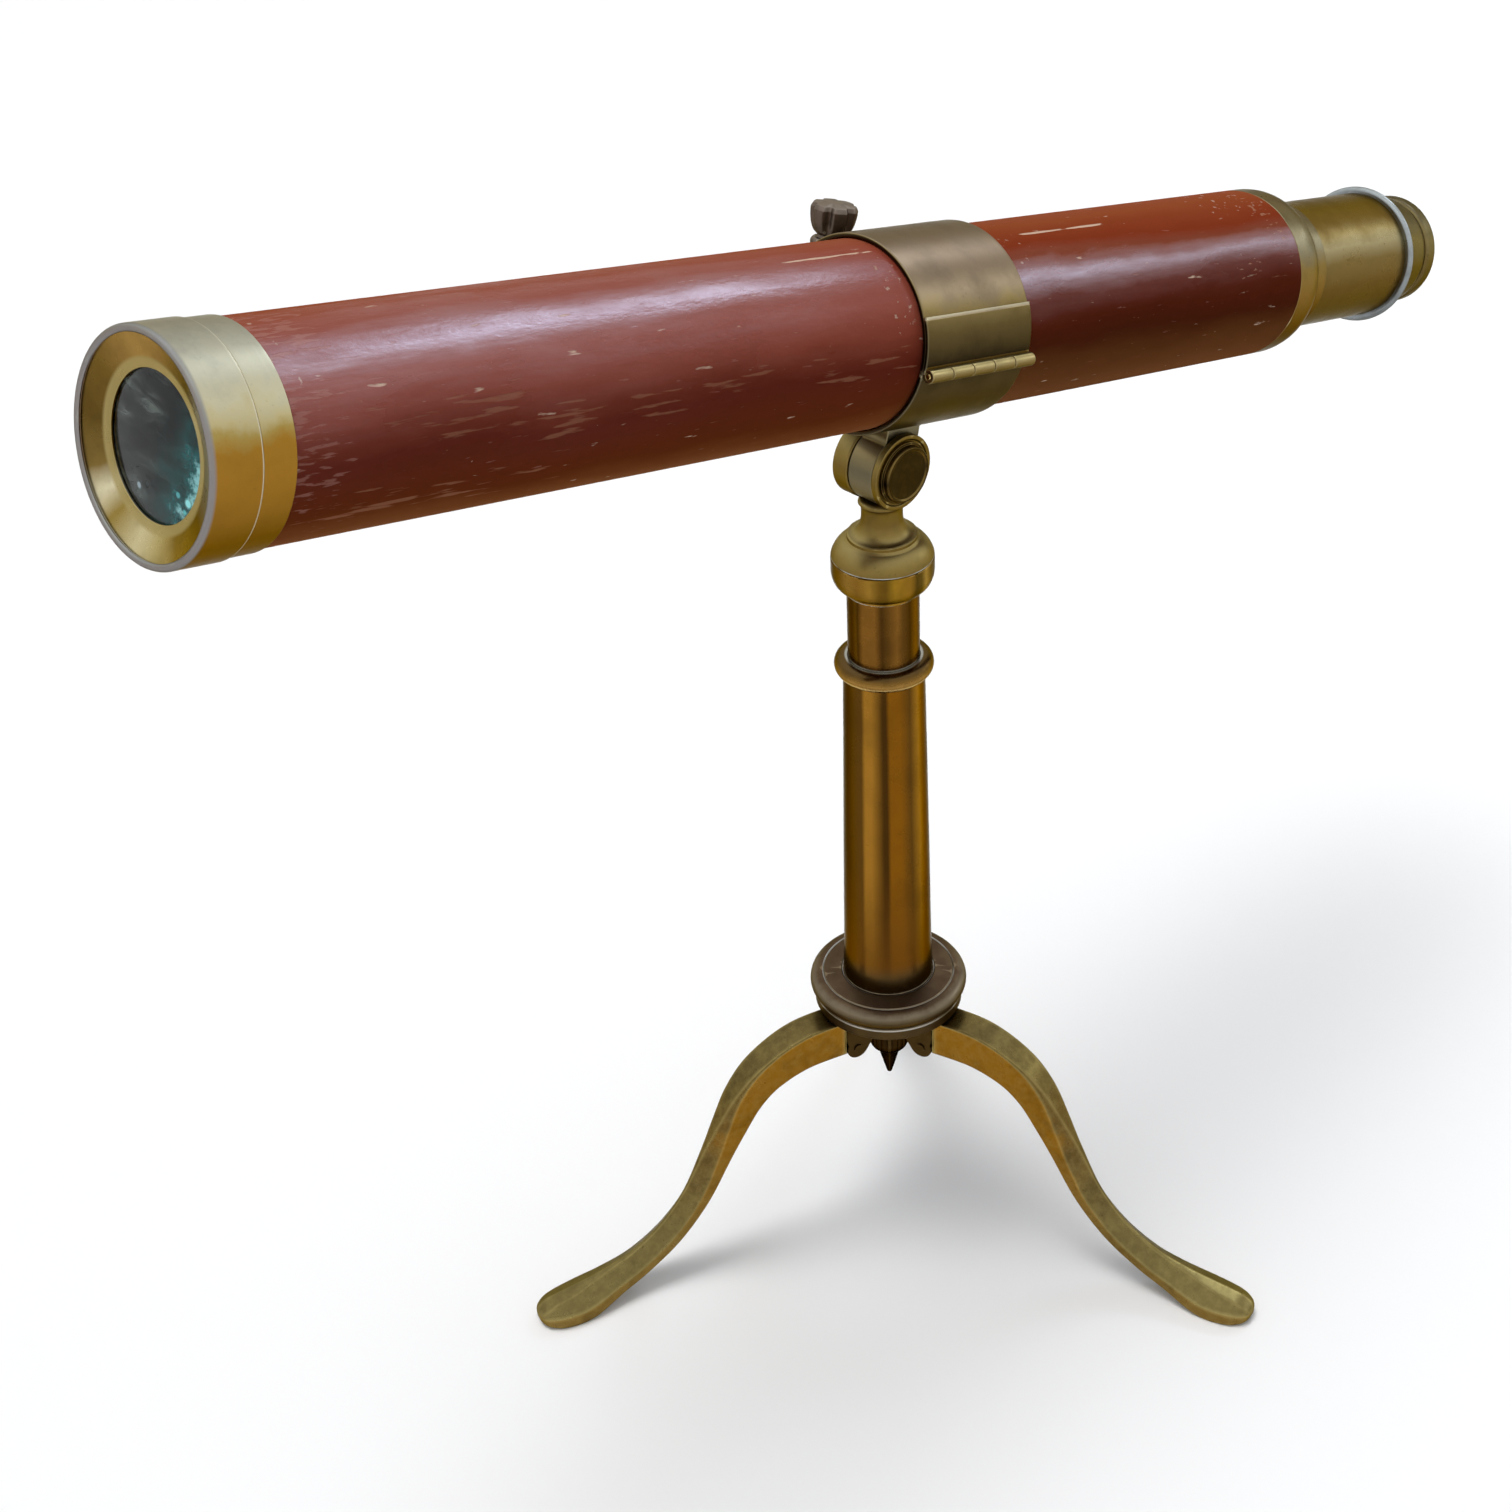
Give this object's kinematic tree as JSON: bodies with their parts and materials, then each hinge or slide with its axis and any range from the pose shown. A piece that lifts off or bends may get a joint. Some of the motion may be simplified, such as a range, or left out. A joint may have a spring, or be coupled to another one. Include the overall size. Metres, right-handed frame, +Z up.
{
  "type": "table telescope",
  "caption": "Draw-tube refracting telescope held in a hinged clamp cradle that tilts and swivels on a turned column with folding claw legs.",
  "frame": {"origin": "on the table, under the axis of the column", "axes": "+X is the level direction in which the objective points, +Z is up, +Y is the cradle's hinge side"},
  "size_m": [0.5693, 0.2596, 0.4641],
  "materials": {
    "painted_wood": "red-brown painted turned wood, satin and scratched",
    "bare_wood": "plain turned wood",
    "tarnished_brass": "hand-finished brass with an olive tarnish",
    "polished_brass": "turned and polished brass, warm with age",
    "dark_bronze": "brass with a dark brown patina",
    "pale_metal": "turned nickel-silver edge, dull grey",
    "steel": "turned steel",
    "blackened": "matt black lacquer",
    "crown_glass": "polished optical glass"
  },
  "bodies": {
    "stand": {"base_flange": "dark_bronze", "leg_hub": "dark_bronze", "leg_pins": "polished_brass", "drop_finial": "dark_bronze", "tie_rod": "steel", "column_plug": "polished_brass", "column_shaft": "polished_brass", "column_ring": "polished_brass", "column_neck": "polished_brass", "capital": "polished_brass", "spindle_bush": "polished_brass"},
    "leg_one": {"leg_1": "tarnished_brass"},
    "leg_two": {"leg_2": "tarnished_brass"},
    "leg_three": {"leg_3": "tarnished_brass"},
    "head": {"swivel_head": "tarnished_brass", "swivel_spindle": "steel", "spindle_washer": "polished_brass", "spindle_nut": "steel", "pivot_bolt": "dark_bronze", "pivot_nut": "dark_bronze"},
    "cradle_half": {"cradle": "tarnished_brass", "cradle_hinge_pin": "polished_brass"},
    "strap_half": {"strap": "tarnished_brass"},
    "screw_rider": {"clamp_washer": "tarnished_brass"},
    "clamp_screw": {"thumbscrew": "dark_bronze"},
    "tube": {"barrel": "painted_wood", "objective_ferrule": "tarnished_brass", "objective_cell": "polished_brass", "crown_lens": "crown_glass", "lens_spacer": "pale_metal", "flint_lens": "crown_glass", "lens_ring": "polished_brass", "barrel_stops": "blackened", "rear_cap": "tarnished_brass", "draw_guide": "bare_wood"},
    "draw": {"draw_tube": "polished_brass", "draw_stop_ring": "polished_brass", "eyepiece_flange": "pale_metal", "eyepiece_body": "polished_brass", "eyecup": "polished_brass", "eye_lens": "crown_glass", "eye_lens_ring": "polished_brass", "erector_tube": "polished_brass", "field_lens": "crown_glass", "erector_lenses": "crown_glass", "erector_stop": "blackened", "erector_rings": "polished_brass"}
  },
  "joints": [
    {"name": "leg_one_fold", "type": "hinge", "parent": "stand", "child": "leg_one", "pos_m": [0.01634, -0.00469, 0.08], "axis": [0.2756, 0.9613, 0], "range_deg": [0, 55]},
    {"name": "leg_two_fold", "type": "hinge", "parent": "stand", "child": "leg_two", "pos_m": [-0.00411, 0.01649, 0.08], "axis": [-0.9703, -0.2419, 0], "range_deg": [0, 55]},
    {"name": "leg_three_fold", "type": "hinge", "parent": "stand", "child": "leg_three", "pos_m": [-0.01223, -0.01181, 0.08], "axis": [0.6947, -0.7193, 0], "range_deg": [0, 55]},
    {"name": "swivel", "type": "hinge", "parent": "stand", "child": "head", "pos_m": [0, 0, 0.287], "axis": [0, 0, 1], "continuous": true},
    {"name": "altitude", "type": "hinge", "parent": "head", "child": "cradle_half", "pos_m": [0, 0, 0.3215], "axis": [0, -1, 0], "range_deg": [-44, 31]},
    {"name": "strap_open", "type": "hinge", "parent": "cradle_half", "child": "strap_half", "pos_m": [-0.01019, 0.03394, 0.36362], "axis": [-0.972, 0, -0.2351], "range_deg": [0, 110]},
    {"name": "screw_lift", "type": "slide", "parent": "strap_half", "child": "screw_rider", "axis": [-0.2351, 0, 0.972], "range_m": [0, 0.009]},
    {"name": "screw_turn", "type": "hinge", "parent": "screw_rider", "child": "clamp_screw", "pos_m": [-0.01472, -0.0365, 0.38234], "axis": [-0.2351, 0, 0.972], "range_deg": [0, 2160]},
    {"name": "barrel_slide", "type": "slide", "parent": "cradle_half", "child": "tube", "axis": [0.972, 0, 0.2351], "range_m": [-0.04, 0.04]},
    {"name": "draw_focus", "type": "slide", "parent": "tube", "child": "draw", "axis": [-0.972, 0, -0.2351], "range_m": [-0.052, 0.1]}
  ],
  "couplings": [
    {"joint": "screw_lift", "follows": "screw_turn", "m_per_rad": 0.00023873}
  ]
}
